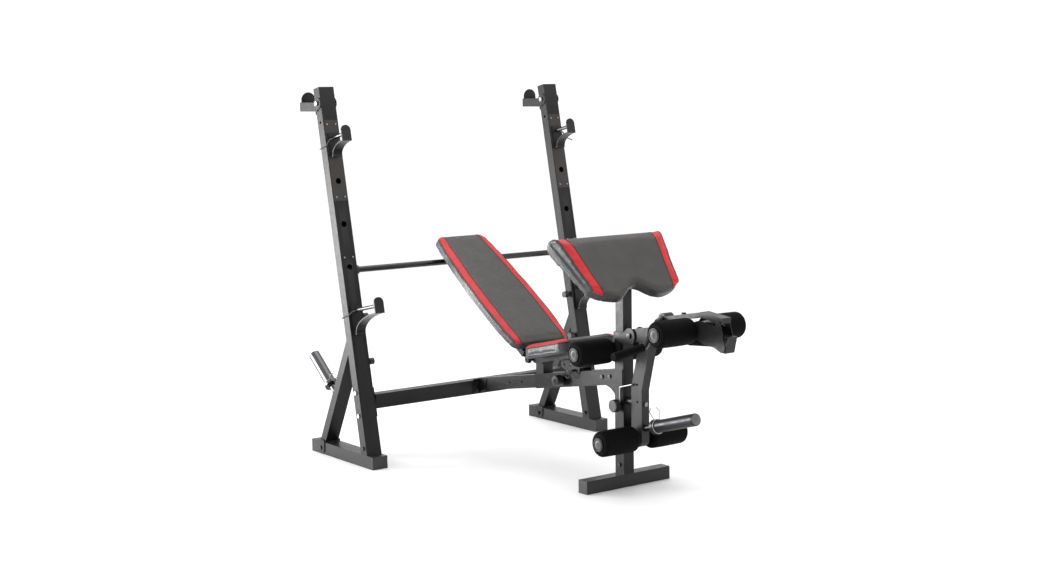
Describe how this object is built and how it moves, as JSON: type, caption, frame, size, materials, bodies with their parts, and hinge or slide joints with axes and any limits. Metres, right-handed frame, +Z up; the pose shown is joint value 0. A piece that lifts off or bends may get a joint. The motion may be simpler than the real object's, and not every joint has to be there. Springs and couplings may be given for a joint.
{
  "type": "olympic bench press",
  "caption": "Leaning barbell rack with a sliding adjustable bench, preacher arm pad, foam-roll leg lever and weight sleeves.",
  "frame": {"origin": "middle of the whole machine's footprint, on the floor", "axes": "+X from the rack toward the leg lever, +Y toward the right upright, +Z up"},
  "size_m": [1.986, 1.3228, 1.5551],
  "materials": {
    "frame_paint": "satin black powder coat",
    "hook_paint": "satin black powder coat",
    "chrome": "bright plated",
    "dark_steel": "gloss black",
    "zinc": "zinc plated",
    "roll_tube": "plated tube",
    "black_plastic": "moulded black plastic",
    "pad_vinyl": "charcoal vinyl with red side panels",
    "foam": "black closed-cell foam"
  },
  "bodies": {
    "rack": {"left_upright": "frame_paint", "right_upright": "frame_paint", "left_foot": "frame_paint", "right_foot": "frame_paint", "left_rear_leg": "frame_paint", "right_rear_leg": "frame_paint", "crossbeam": "frame_paint", "support_bar": "dark_steel", "inner_beam": "frame_paint", "rack_bolts": "zinc", "rack_plugs": "black_plastic", "rack_knobs": "black_plastic", "wear_plates": "black_plastic", "plate_pegs": "chrome", "rear_hook_pins": "zinc"},
    "bench": {"main_beam": "frame_paint", "seat_post": "frame_paint", "front_post": "frame_paint", "front_foot": "frame_paint", "post_plates": "frame_paint", "bench_bolts": "dark_steel", "bench_caps": "black_plastic", "knee_roll_tube": "roll_tube", "lever_lock": "zinc"},
    "backrest": {"backrest_pad": "pad_vinyl", "backrest_frame": "frame_paint"},
    "seat": {"seat_pad": "pad_vinyl", "seat_frame": "frame_paint", "seat_pin": "dark_steel"},
    "curl_stand": {"curl_post": "frame_paint", "preacher_pad": "pad_vinyl"},
    "lever": {"leg_lever": "frame_paint", "lever_roll_tubes": "roll_tube", "lever_caps": "black_plastic", "weight_sleeve": "chrome", "curl_yoke": "frame_paint", "curl_bar": "dark_steel", "curl_grips": "foam"},
    "sleeve_clip": {"sleeve_clip": "zinc"},
    "beam_pull_pin": {"beam_pull_pin": "black_plastic"},
    "curl_pull_pin": {"curl_pull_pin": "black_plastic"},
    "left_rear_hook": {"left_rear_hook": "hook_paint"},
    "left_peg_clip": {"left_peg_clip": "zinc"},
    "left_upper_hook": {"left_upper_hook": "hook_paint", "left_upper_hook_rod": "zinc"},
    "left_lower_hook": {"left_lower_hook": "hook_paint", "left_lower_hook_rod": "zinc"},
    "right_rear_hook": {"right_rear_hook": "hook_paint"},
    "right_peg_clip": {"right_peg_clip": "zinc"},
    "right_upper_hook": {"right_upper_hook": "hook_paint", "right_upper_hook_rod": "zinc"},
    "right_lower_hook": {"right_lower_hook": "hook_paint", "right_lower_hook_rod": "zinc"},
    "left_knee_roll": {"left_knee_roll": "foam"},
    "right_knee_roll": {"right_knee_roll": "foam"},
    "left_thigh_roll": {"left_thigh_roll": "foam"},
    "right_thigh_roll": {"right_thigh_roll": "foam"},
    "left_ankle_roll": {"left_ankle_roll": "foam"},
    "right_ankle_roll": {"right_ankle_roll": "foam"}
  },
  "joints": [
    {"name": "bench_slide", "type": "slide", "parent": "rack", "child": "bench", "axis": [0.9863, 0, 0.1647], "range_m": [0, 0.085]},
    {"name": "backrest_tilt", "type": "hinge", "parent": "bench", "child": "backrest", "pos_m": [-0.12102, 0, 0.44], "axis": [0, 1, 0], "range_deg": [0, 18]},
    {"name": "seat_tilt", "type": "hinge", "parent": "bench", "child": "seat", "pos_m": [-0.12102, 0, 0.44], "axis": [0, -1, 0], "range_deg": [0, 12]},
    {"name": "curl_post_slide", "type": "slide", "parent": "bench", "child": "curl_stand", "axis": [0, 0, 1], "range_m": [0, 0.1]},
    {"name": "leg_lever_swing", "type": "hinge", "parent": "bench", "child": "lever", "pos_m": [0.45898, 0, 0.597], "axis": [0, -1, 0], "range_deg": [0, 50]},
    {"name": "beam_pull_pin_slide", "type": "slide", "parent": "bench", "child": "beam_pull_pin", "axis": [0, -1, 0], "range_m": [0, 0.012], "stiffness_N_per_m": 300, "springref_m": -0.02},
    {"name": "curl_pull_pin_slide", "type": "slide", "parent": "bench", "child": "curl_pull_pin", "axis": [0, -1, 0], "range_m": [0, 0.012], "stiffness_N_per_m": 300, "springref_m": -0.02},
    {"name": "sleeve_clip_slide", "type": "slide", "parent": "lever", "child": "sleeve_clip", "axis": [0.9636, 0, 0.2672], "range_m": [0, 0.18]},
    {"name": "left_rear_hook_swing", "type": "hinge", "parent": "rack", "child": "left_rear_hook", "pos_m": [-0.8237, -0.5845, 1.48597], "axis": [0, 1, 0], "range_deg": [0, 80]},
    {"name": "left_peg_clip_slide", "type": "slide", "parent": "rack", "child": "left_peg_clip", "axis": [-0.788, 0, 0.6157], "range_m": [0, 0.15]},
    {"name": "left_upper_hook_pull", "type": "slide", "parent": "rack", "child": "left_upper_hook", "axis": [0.9792, 0, 0.2028], "range_m": [0, 0.045]},
    {"name": "left_lower_hook_pull", "type": "slide", "parent": "rack", "child": "left_lower_hook", "axis": [0.9792, 0, 0.2028], "range_m": [0, 0.045]},
    {"name": "right_rear_hook_swing", "type": "hinge", "parent": "rack", "child": "right_rear_hook", "pos_m": [-0.8237, 0.5845, 1.48597], "axis": [0, 1, 0], "range_deg": [0, 80]},
    {"name": "right_peg_clip_slide", "type": "slide", "parent": "rack", "child": "right_peg_clip", "axis": [-0.788, 0, 0.6157], "range_m": [0, 0.15]},
    {"name": "right_upper_hook_pull", "type": "slide", "parent": "rack", "child": "right_upper_hook", "axis": [0.9792, 0, 0.2028], "range_m": [0, 0.045]},
    {"name": "right_lower_hook_pull", "type": "slide", "parent": "rack", "child": "right_lower_hook", "axis": [0.9792, 0, 0.2028], "range_m": [0, 0.045]},
    {"name": "left_knee_roll_spin", "type": "hinge", "parent": "bench", "child": "left_knee_roll", "pos_m": [0.34698, -0.12, 0.53], "axis": [0, 1, 0], "continuous": true},
    {"name": "right_knee_roll_spin", "type": "hinge", "parent": "bench", "child": "right_knee_roll", "pos_m": [0.34698, 0.12, 0.53], "axis": [0, 1, 0], "continuous": true},
    {"name": "left_thigh_roll_spin", "type": "hinge", "parent": "lever", "child": "left_thigh_roll", "pos_m": [0.80798, -0.12, 0.656], "axis": [0, 1, 0], "continuous": true},
    {"name": "right_thigh_roll_spin", "type": "hinge", "parent": "lever", "child": "right_thigh_roll", "pos_m": [0.80798, 0.12, 0.656], "axis": [0, 1, 0], "continuous": true},
    {"name": "left_ankle_roll_spin", "type": "hinge", "parent": "lever", "child": "left_ankle_roll", "pos_m": [0.48898, -0.12, 0.206], "axis": [0, 1, 0], "continuous": true},
    {"name": "right_ankle_roll_spin", "type": "hinge", "parent": "lever", "child": "right_ankle_roll", "pos_m": [0.48898, 0.12, 0.206], "axis": [0, 1, 0], "continuous": true}
  ]
}
